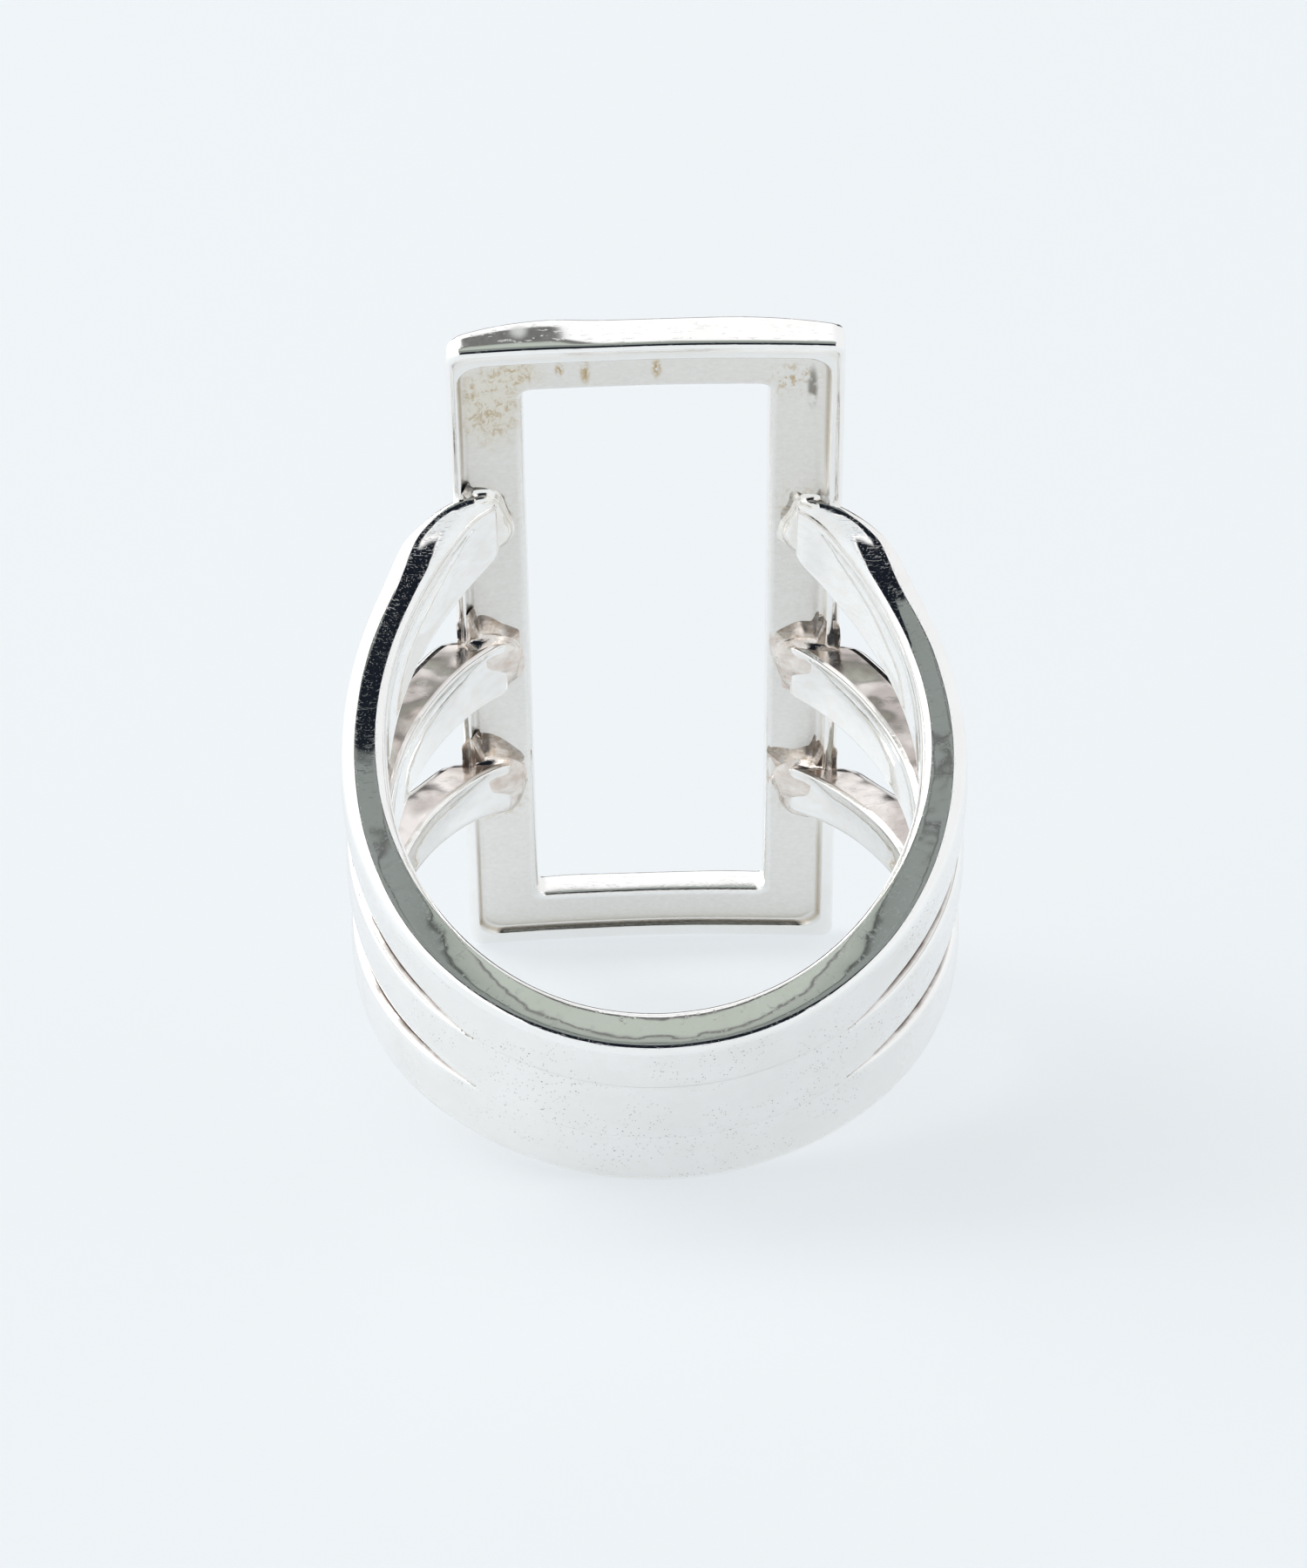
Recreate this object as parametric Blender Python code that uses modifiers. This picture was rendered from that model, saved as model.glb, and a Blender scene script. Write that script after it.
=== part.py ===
# Silver finger ring with a long open rectangular head, leaning on its far side.
#
# Every piece is modelled in the ring frame (millimetres in the constants, metres in the
# meshes): X across the finger, Y along the finger axis, Z from the palm to the head,
# origin on the finger axis. The pieces are children of one empty, which leans the ring
# into its resting pose on z = 0: it stands on the far outer rim of the palm and on the far
# lower corners of the head. World origin: centre of the bounding box in x and y, floor in z.
import bpy
import bmesh
import math
from mathutils import Matrix, Vector

MM = 0.001

# ---------------------------------------------------------------- dimensions (mm)
R_IN = 8.50            # finger hole radius, 17 mm bore
R_OUT = 9.95           # outer radius of the shank
T_FOOT_OUT = 9.50      # outer radius of the bars where they reach the head

# head frame
HEAD_W = 6.27          # half width of the head, across the finger
HEAD_L = 18.70         # half length of the head, along the finger
HEAD_Z = 7.25          # lip plane of the underside, above the finger axis
HEAD_T = 1.20          # thickness at the middle of the end bars
WIN_W = 3.87           # half width of the window
WIN_L = 15.98          # half length of the window
HEAD_R = 0.55          # outer plan corner radius
WIN_R = 0.35           # window corner radius
RECESS = 0.24          # depth of the hollow in the underside
LIP = 0.60             # width of the lip left around the hollow
CAMBER_LOW = 0.20      # fall of the underside at the side edges
CAMBER_TOP = 0.45      # fall of the top face at the side edges
TOP_FLAT = 3.00        # half width of the flat land on the top face
EDGE = 0.12            # rounding of the head's edges

# shank: three bars that join in the palm
PALM_HALF = 4.45       # half width of the joined palm
SEAM_GAP = 0.14        # room between two bars in the palm
SEAM_T = 0.10          # solder strip in that room
SEAM_END = 35.0        # the palm is joined for this many degrees to each side
FOOT_Z = 6.78          # the bars are cut off at this height
PAD_GAP = 0.02         # room above and below the solder pads
STATIONS = 72          # sections along one bar

# near and far edge of each bar along the finger, against the angle from the palm
EDGES = {
    "near": (((0, -4.45), (20, -4.52), (40, -4.82), (60, -5.34), (80, -6.04),
              (100, -6.98), (120, -8.20), (135, -9.46), (142, -10.30), (150, -11.1)),
             ((0, -2.02), (36, -2.02), (50, -2.40), (70, -2.90), (90, -3.42),
              (110, -4.08), (130, -5.22), (142, -6.42), (150, -7.20))),
    "middle": (((0, -1.88), (36, -1.88), (50, -1.76), (70, -1.60), (90, -1.44),
                (110, -1.28), (130, -1.12), (142, -1.05), (150, -1.02)),
               ((0, 1.16), (36, 1.16), (50, 1.24), (70, 1.38), (90, 1.54),
                (110, 1.74), (130, 1.96), (142, 2.10), (150, 2.18))),
    "far": (((0, 1.30), (36, 1.30), (50, 1.80), (70, 2.66), (90, 3.66),
             (110, 4.85), (130, 6.12), (142, 6.74), (150, 7.10)),
            ((0, 4.45), (20, 4.52), (40, 4.85), (60, 5.42), (80, 6.18),
             (100, 7.16), (120, 8.36), (135, 9.42), (142, 9.98), (150, 10.55))),
}

# resting pose
LEAN_DEG = 40.25       # angle between the head's plane and the upright
REST_Y = -4.0957       # finger axis at mid width, in the world
REST_Z = 9.6467


def table(rows, x):
    """Smooth interpolation of a table with cubic slopes."""
    xs = [r[0] for r in rows]
    ys = [r[1] for r in rows]
    x = min(max(x, xs[0]), xs[-1])
    n = len(xs)
    d = [(ys[i + 1] - ys[i]) / (xs[i + 1] - xs[i]) for i in range(n - 1)]
    m = [d[0]] + [(d[i - 1] + d[i]) / 2 if d[i - 1] * d[i] > 0 else 0.0
                  for i in range(1, n - 1)] + [d[-1]]
    for i in range(n - 1):
        if x <= xs[i + 1]:
            h = xs[i + 1] - xs[i]
            t = (x - xs[i]) / h
            return ((2 * t ** 3 - 3 * t ** 2 + 1) * ys[i] + (t ** 3 - 2 * t ** 2 + t) * h * m[i]
                    + (3 * t ** 2 - 2 * t ** 3) * ys[i + 1] + (t ** 3 - t ** 2) * h * m[i + 1])
    return ys[-1]


def smooth(t):
    t = min(max(t, 0.0), 1.0)
    return t * t * (3 - 2 * t)


# ---------------------------------------------------------------- scene set-up
for ob in list(bpy.data.objects):
    bpy.data.objects.remove(ob, do_unlink=True)

scene = bpy.context.scene
scene.unit_settings.system = 'METRIC'
scene.unit_settings.scale_length = 1.0
parts = bpy.data.collections.new("open_frame_finger_ring")
cutters = bpy.data.collections.new("cutters")
scene.collection.children.link(parts)
scene.collection.children.link(cutters)

pose = bpy.data.objects.new("ring_pose", None)
pose.empty_display_size = 0.01
pose.rotation_euler = (math.radians(LEAN_DEG - 90.0), 0.0, 0.0)
pose.location = (0.0, REST_Y * MM, REST_Z * MM)
parts.objects.link(pose)


def silver(name, rough, tint):
    mat = bpy.data.materials.new(name)
    mat.use_nodes = True
    bsdf = mat.node_tree.nodes["Principled BSDF"]
    bsdf.inputs["Base Color"].default_value = (tint[0], tint[1], tint[2], 1.0)
    bsdf.inputs["Metallic"].default_value = 1.0
    bsdf.inputs["Roughness"].default_value = rough
    return mat


def add(name, bm, rough=0.12, tint=(0.90, 0.89, 0.87)):
    """Turns a bmesh in ring-frame millimetres into one named part."""
    bmesh.ops.scale(bm, vec=(MM, MM, MM), verts=bm.verts)
    bmesh.ops.recalc_face_normals(bm, faces=bm.faces)
    me = bpy.data.meshes.new(name)
    bm.to_mesh(me)
    bm.free()
    me.shade_smooth()
    me.set_sharp_from_angle(angle=math.radians(32))
    me.materials.append(silver("mat_" + name, rough, tint))
    ob = bpy.data.objects.new(name, me)
    parts.objects.link(ob)
    ob.parent = pose
    return ob


def cutter(name, bm):
    bmesh.ops.scale(bm, vec=(MM, MM, MM), verts=bm.verts)
    bmesh.ops.recalc_face_normals(bm, faces=bm.faces)
    me = bpy.data.meshes.new(name)
    bm.to_mesh(me)
    bm.free()
    ob = bpy.data.objects.new(name, me)
    cutters.objects.link(ob)
    ob.parent = pose
    ob.hide_render = True
    ob.display_type = 'WIRE'
    return ob


def box(x0, x1, y0, y1, z0, z1):
    bm = bmesh.new()
    bmesh.ops.create_cube(bm, size=1.0)
    bmesh.ops.scale(bm, vec=(x1 - x0, y1 - y0, z1 - z0), verts=bm.verts)
    bmesh.ops.translate(bm, vec=((x0 + x1) / 2, (y0 + y1) / 2, (z0 + z1) / 2), verts=bm.verts)
    return bm


def round_corners(bm, radius, segments):
    """Rounds the four edges that run along Z."""
    edges = [e for e in bm.edges
             if abs(e.verts[0].co.z - e.verts[1].co.z) > 0.9 * e.calc_length()]
    bmesh.ops.bevel(bm, geom=edges, offset=radius, offset_type='OFFSET', segments=segments,
                    profile=0.5, affect='EDGES')


def slice_at(bm, axis, values):
    """Adds loops of edges across the mesh at these positions."""
    for v in values:
        co = [0.0, 0.0, 0.0]
        no = [0.0, 0.0, 0.0]
        co[axis] = v
        no[axis] = 1.0
        bmesh.ops.bisect_plane(bm, geom=bm.verts[:] + bm.edges[:] + bm.faces[:],
                               plane_co=co, plane_no=no, dist=1e-5)


# ---------------------------------------------------------------- head frame
COLUMNS = [-5.5, -4.8, -4.1, -3.0, -2.0, -1.0, 0.0, 1.0, 2.0, 3.0, 4.1, 4.8, 5.5]


def low_z(x):
    """Fall of the cambered underside."""
    return -CAMBER_LOW * (x / HEAD_W) ** 2


def top_z(x):
    """Fall of the top face outside its flat land."""
    return -CAMBER_TOP * max(0.0, (abs(x) - TOP_FLAT) / (HEAD_W - TOP_FLAT)) ** 2


blank = box(-HEAD_W, HEAD_W, -HEAD_L, HEAD_L, HEAD_Z, HEAD_Z + HEAD_T)
round_corners(blank, HEAD_R, 4)
slice_at(blank, 0, COLUMNS)
for vert in blank.verts:
    top = vert.co.z > HEAD_Z + HEAD_T / 2
    vert.co.z += top_z(vert.co.x) if top else low_z(vert.co.x)
head = add("head_frame", blank, 0.16)

window = box(-WIN_W, WIN_W, -WIN_L, WIN_L, HEAD_Z - 2, HEAD_Z + HEAD_T + 2)
round_corners(window, WIN_R, 3)
window = cutter("cut_window", window)

hollow = box(-(HEAD_W - LIP), HEAD_W - LIP, -(HEAD_L - LIP), HEAD_L - LIP,
             HEAD_Z - 2, HEAD_Z + RECESS)
round_corners(hollow, 0.70, 4)
slice_at(hollow, 0, COLUMNS)
for vert in hollow.verts:
    if vert.co.z > HEAD_Z:
        vert.co.z += low_z(vert.co.x)
hollow = cutter("cut_hollow", hollow)

mod = head.modifiers.new("rounded_edges", 'BEVEL')
mod.width = EDGE * MM
mod.segments = 2
mod.limit_method = 'ANGLE'
mod.angle_limit = math.radians(50)
for tool in (window, hollow):
    mod = head.modifiers.new(tool.name, 'BOOLEAN')
    mod.operation = 'DIFFERENCE'
    mod.solver = 'EXACT'
    mod.object = tool


# ---------------------------------------------------------------- bars
def bar_section(r0, r1, y0, y1, ri0, ri1, ro0, ro1):
    """Closed section (radius, y): inner face r0, outer face r1, sides y0 < y1, with the
    corner radii of the inner and outer corners on each side."""
    pts = []
    for cr, cy, rad, a0 in ((r0 + ri0, y0 + ri0, ri0, 180), (r1 - ro0, y0 + ro0, ro0, 270),
                            (r1 - ro1, y1 - ro1, ro1, 0), (r0 + ri1, y1 - ri1, ri1, 90)):
        for i in range(4):
            a = math.radians(a0 + 30.0 * i)
            pts.append((cr + rad * math.cos(a), cy + rad * math.sin(a)))
    return pts


def loft(rows):
    """Joins closed sections with the same number of points and caps both ends."""
    bm = bmesh.new()
    rings = [[bm.verts.new(p) for p in row] for row in rows]
    n = len(rings[0])
    for a, b in zip(rings, rings[1:]):
        for j in range(n):
            k = (j + 1) % n
            bm.faces.new((a[j], a[k], b[k], b[j]))
    bm.faces.new(rings[0])
    bm.faces.new(rings[-1])
    return bm


FOOT_DEG = math.degrees(math.acos(-FOOT_Z / ((R_IN + T_FOOT_OUT) / 2)))


def bar(tag):
    """One C-shaped bar. Its width, its place along the finger and its corners change from
    the palm to the feet, so it is lofted."""
    rows = []
    for s in range(STATIONS + 1):
        u = -1.0 + 2.0 * s / STATIONS
        th = abs(u) * FOOT_DEG
        y0, y1 = (table(edge, th) for edge in EDGES[tag])
        k = smooth((th - SEAM_END - 3.0) / 22.0)
        r1 = R_OUT + (T_FOOT_OUT - R_OUT) * smooth((th - 128.0) / 12.0)
        seam_in, seam_out = 0.05 + 0.17 * k, 0.05 + 0.37 * k
        free_in, free_out = 0.22, 0.42
        if tag == "near":
            sec = bar_section(R_IN, r1, y0, y1, free_in, seam_in, free_out, seam_out)
        elif tag == "far":
            sec = bar_section(R_IN, r1, y0, y1, seam_in, free_in, seam_out, free_out)
        else:
            sec = bar_section(R_IN, r1, y0, y1, seam_in, seam_in, seam_out, seam_out)
        row = []
        blend = smooth((abs(u) - 0.80) / 0.20)
        for r, y in sec:
            foot = math.degrees(math.acos(-FOOT_Z / r))
            t = math.radians(th + (foot - FOOT_DEG) * blend) * (1 if u >= 0 else -1)
            row.append((r * math.sin(t), y, -r * math.cos(t)))
        rows.append(row)
    return loft(rows)


for tag in EDGES:
    add("shank_bar_" + tag, bar(tag), 0.10)


# ---------------------------------------------------------------- solder strips in the palm
for edge, yc in (("near", EDGES["middle"][0][0][1] - SEAM_GAP / 2),
                 ("far", EDGES["middle"][1][0][1] + SEAM_GAP / 2)):
    bm = bmesh.new()
    flat = [bm.verts.new((0.0, yc + y, -r)) for r, y in (
        (R_IN + 0.03, -SEAM_T / 2), (R_OUT - 0.03, -SEAM_T / 2),
        (R_OUT - 0.03, SEAM_T / 2), (R_IN + 0.03, SEAM_T / 2))]
    face = bm.faces.new(flat)
    bmesh.ops.rotate(bm, cent=(0, 0, 0), verts=bm.verts,
                     matrix=Matrix.Rotation(math.radians(SEAM_END), 3, 'Y'))
    bmesh.ops.spin(bm, geom=[face] + list(face.edges) + list(face.verts), cent=(0, 0, 0),
                   axis=(0, 1, 0), angle=-math.radians(2 * SEAM_END), steps=36)
    add("palm_solder_" + edge, bm, 0.22)


# ---------------------------------------------------------------- solder under the head
def pad(side, yc, half):
    """Flared pad between a bar's foot and the underside of the head: the outer strip
    meets the lip, the rest fills the hollow."""
    x_in = math.sqrt(R_IN ** 2 - FOOT_Z ** 2)
    wall = HEAD_W - LIP - PAD_GAP
    xi, xo = max(x_in - 0.30, WIN_W + 0.30), HEAD_W - 0.14
    z0 = FOOT_Z + PAD_GAP
    bm = box(xi, xo, -1, 1, 0, 2)
    slice_at(bm, 0, [(xi + wall) / 2, wall - 0.05, wall])
    slice_at(bm, 1, [-0.5, 0.0, 0.5])
    slice_at(bm, 2, [1.0])
    for vert in bm.verts:
        x, t, h = vert.co
        u = (x - xi) / (xo - xi)
        top = HEAD_Z + low_z(x) - PAD_GAP
        top += RECESS * min(1.0, max(0.0, (wall - x) / 0.05))
        if h < 0.5:
            x = x_in + 0.06 + (xo - 0.12 - x_in) * u
            z, flare = z0, 0.0
        elif h < 1.5:
            z, flare = z0 + 0.16, 0.14
        else:
            z, flare = top, 0.28
        vert.co = (side * x, yc + t * (half + flare), z)
    return bm


for tag in EDGES:
    lo, hi = (table(edge, FOOT_DEG) for edge in EDGES[tag])
    for side, lr in ((-1, "left"), (1, "right")):
        add("head_solder_%s_%s" % (tag, lr), pad(side, (lo + hi) / 2, (hi - lo) / 2 - 0.04), 0.30,
            (0.86, 0.83, 0.77))
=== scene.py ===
import bpy
import math
import numpy as np
from mathutils import Matrix, Vector

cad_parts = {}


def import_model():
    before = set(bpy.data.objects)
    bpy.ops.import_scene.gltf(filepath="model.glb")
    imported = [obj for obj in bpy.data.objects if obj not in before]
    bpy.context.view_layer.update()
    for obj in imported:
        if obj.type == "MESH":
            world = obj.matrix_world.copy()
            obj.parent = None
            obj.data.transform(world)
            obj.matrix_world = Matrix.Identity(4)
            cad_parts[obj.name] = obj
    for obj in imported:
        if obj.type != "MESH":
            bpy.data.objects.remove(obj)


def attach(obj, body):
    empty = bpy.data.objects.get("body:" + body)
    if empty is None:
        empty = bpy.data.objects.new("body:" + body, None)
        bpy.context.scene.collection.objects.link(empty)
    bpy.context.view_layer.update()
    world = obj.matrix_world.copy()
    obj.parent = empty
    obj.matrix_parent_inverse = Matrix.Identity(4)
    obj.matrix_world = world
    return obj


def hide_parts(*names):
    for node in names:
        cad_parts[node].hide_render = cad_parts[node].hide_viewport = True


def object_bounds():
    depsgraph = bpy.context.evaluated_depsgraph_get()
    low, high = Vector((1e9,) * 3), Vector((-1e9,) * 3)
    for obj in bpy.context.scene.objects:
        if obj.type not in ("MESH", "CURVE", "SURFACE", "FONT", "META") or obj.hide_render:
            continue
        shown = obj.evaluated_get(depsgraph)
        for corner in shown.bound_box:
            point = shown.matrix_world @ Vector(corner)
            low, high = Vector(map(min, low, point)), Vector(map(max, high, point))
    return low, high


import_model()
CAD_LO, CAD_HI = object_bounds()

scene = bpy.context.scene
scene.view_settings.view_transform = 'Standard'
scene.view_settings.look = 'None'
scene.view_settings.exposure = 0.0
scene.view_settings.gamma = 1.0

# ------------------------------------------------------------------ the ring's own frame
# millimetres: X across the finger, Y along it, Z from the palm to the head. The ring leans
# in the CAD model by LEAN; its place across the finger comes from the CAD model's box, the rest is given.
LEAN = math.radians(40.25)
SA, CA = math.sin(LEAN), math.cos(LEAN)
ROT = np.array([[1, 0, 0], [0, SA, CA], [0, -CA, SA]])
R_IN, R_OUT, R_FOOT = 8.50, 9.95, 9.50
HEAD_W, HEAD_L, HEAD_Z, HEAD_T = 6.27, 18.70, 7.25, 1.20
WIN_W, WIN_L = 3.87, 15.98

OFF = np.array([(CAD_LO.x + CAD_HI.x) * 500.0, -4.0957, 9.6467])


def world(p):
    """Ring-frame millimetres to world metres."""
    p = np.asarray(p, float)
    return (p @ ROT.T + OFF) / 1000.0


def table(rows, x):
    xs = np.array([r[0] for r in rows], float)
    ys = np.array([r[1] for r in rows], float)
    x = np.clip(np.asarray(x, float), xs[0], xs[-1])
    d = np.diff(ys) / np.diff(xs)
    m = np.empty(len(xs))
    m[0], m[-1] = d[0], d[-1]
    for i in range(1, len(xs) - 1):
        m[i] = (d[i - 1] + d[i]) / 2 if d[i - 1] * d[i] > 0 else 0.0
    i = np.clip(np.searchsorted(xs, x, side='right') - 1, 0, len(xs) - 2)
    h = xs[i + 1] - xs[i]
    t = (x - xs[i]) / h
    return ((2 * t ** 3 - 3 * t ** 2 + 1) * ys[i] + (t ** 3 - 2 * t ** 2 + t) * h * m[i]
            + (3 * t ** 2 - 2 * t ** 3) * ys[i + 1] + (t ** 3 - t ** 2) * h * m[i + 1])


def smooth(t):
    t = np.clip(t, 0.0, 1.0)
    return t * t * (3 - 2 * t)


def wob(p, f, seed):
    """Smooth, repeatable unevenness, about -1 to 1, from ring-frame points."""
    rng = np.random.RandomState(seed)
    out = np.zeros(p.shape[:-1])
    for k in range(7):
        v = rng.normal(size=3)
        v /= np.linalg.norm(v)
        ff = f * (0.6 + 0.9 * rng.rand())
        out += np.sin(p @ v * ff * 2 * math.pi + rng.rand() * 7)
    return out / 3.2


# ------------------------------------------------------------------ materials
def new_mat(name):
    mat = bpy.data.materials.new(name)
    mat.use_nodes = True
    nt = mat.node_tree
    bsdf = nt.nodes["Principled BSDF"]
    return mat, nt, bsdf


def mm_coords(nt):
    tc = nt.nodes.new("ShaderNodeTexCoord")
    mp = nt.nodes.new("ShaderNodeMapping")
    mp.inputs["Scale"].default_value = (1000, 1000, 1000)
    nt.links.new(tc.outputs["Object"], mp.inputs["Vector"])
    return mp.outputs["Vector"]


def ring_coords(nt, v):
    """World millimetres turned back to the ring's own axes."""
    mp = nt.nodes.new("ShaderNodeMapping")
    mp.vector_type = 'TEXTURE'
    mp.inputs["Location"].default_value = (float(OFF[0]), float(OFF[1]), float(OFF[2]))
    mp.inputs["Rotation"].default_value = (LEAN - math.pi / 2, 0, 0)
    nt.links.new(v, mp.inputs["Vector"])
    return mp.outputs["Vector"]


def scaled(nt, v, s, rot=(0, 0, 0)):
    mp = nt.nodes.new("ShaderNodeMapping")
    mp.inputs["Scale"].default_value = s
    mp.inputs["Rotation"].default_value = rot
    nt.links.new(v, mp.inputs["Vector"])
    return mp.outputs["Vector"]


def noise(nt, v, scale, detail=2.0, rough=0.5, dist=0.0):
    n = nt.nodes.new("ShaderNodeTexNoise")
    n.inputs["Scale"].default_value = scale
    n.inputs["Detail"].default_value = detail
    n.inputs["Roughness"].default_value = rough
    n.inputs["Distortion"].default_value = dist
    nt.links.new(v, n.inputs["Vector"])
    return n.outputs["Fac"]


def voronoi(nt, v, scale, feature='F1', rand=1.0):
    n = nt.nodes.new("ShaderNodeTexVoronoi")
    n.feature = feature
    n.inputs["Scale"].default_value = scale
    n.inputs["Randomness"].default_value = rand
    nt.links.new(v, n.inputs["Vector"])
    return n.outputs["Distance"]


def ramp(nt, fac, stops):
    n = nt.nodes.new("ShaderNodeValToRGB")
    el = n.color_ramp.elements
    while len(el) < len(stops):
        el.new(0.5)
    for e, (pos, col) in zip(el, stops):
        e.position = pos
        if isinstance(col, (int, float)):
            col = (col, col, col)
        e.color = (col[0], col[1], col[2], 1)
    nt.links.new(fac, n.inputs["Fac"])
    return n.outputs["Color"]


def math_n(nt, op, a, b=None, c=None, clamp=False):
    n = nt.nodes.new("ShaderNodeMath")
    n.operation = op
    n.use_clamp = clamp
    for i, x in enumerate((a, b, c)):
        if x is None:
            continue
        if isinstance(x, (int, float)):
            n.inputs[i].default_value = x
        else:
            nt.links.new(x, n.inputs[i])
    return n.outputs[0]


def mix_col(nt, fac, a, b, blend='MIX'):
    n = nt.nodes.new("ShaderNodeMix")
    n.data_type = 'RGBA'
    n.blend_type = blend
    for sock, x in ((n.inputs[0], fac), (n.inputs[6], a), (n.inputs[7], b)):
        if isinstance(x, (int, float)):
            sock.default_value = x
        elif isinstance(x, tuple):
            sock.default_value = (x[0], x[1], x[2], 1)
        else:
            nt.links.new(x, sock)
    return n.outputs[2]


def attr(nt, name):
    n = nt.nodes.new("ShaderNodeAttribute")
    n.attribute_name = name
    return n.outputs["Fac"]


def bump(nt, height, dist_mm, strength=1.0, normal=None):
    n = nt.nodes.new("ShaderNodeBump")
    n.inputs["Strength"].default_value = strength
    n.inputs["Distance"].default_value = dist_mm / 1000.0
    nt.links.new(height, n.inputs["Height"])
    if normal is not None:
        nt.links.new(normal, n.inputs["Normal"])
    return n.outputs["Normal"]


def spot(nt, v, centre, radius, soft=0.5):
    """1 inside a ball round a ring-frame point, falling softly to 0."""
    sub = nt.nodes.new("ShaderNodeVectorMath")
    sub.operation = 'SUBTRACT'
    nt.links.new(v, sub.inputs[0])
    sub.inputs[1].default_value = centre
    sc = nt.nodes.new("ShaderNodeVectorMath")
    sc.operation = 'DIVIDE'
    nt.links.new(sub.outputs[0], sc.inputs[0])
    sc.inputs[1].default_value = radius if isinstance(radius, tuple) else (radius,) * 3
    ln = nt.nodes.new("ShaderNodeVectorMath")
    ln.operation = 'LENGTH'
    nt.links.new(sc.outputs[0], ln.inputs[0])
    mr = nt.nodes.new("ShaderNodeMapRange")
    mr.interpolation_type = 'SMOOTHSTEP'
    mr.inputs["From Min"].default_value = 1.0
    mr.inputs["From Max"].default_value = 1.0 - soft
    mr.inputs["To Min"].default_value = 0.0
    mr.inputs["To Max"].default_value = 1.0
    nt.links.new(ln.outputs["Value"], mr.inputs["Value"])
    return mr.outputs["Result"]


def total(nt, items):
    out = items[0]
    for it in items[1:]:
        out = math_n(nt, 'MAXIMUM', out, it)
    return out


SILVER = (0.985, 0.978, 0.962)


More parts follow.
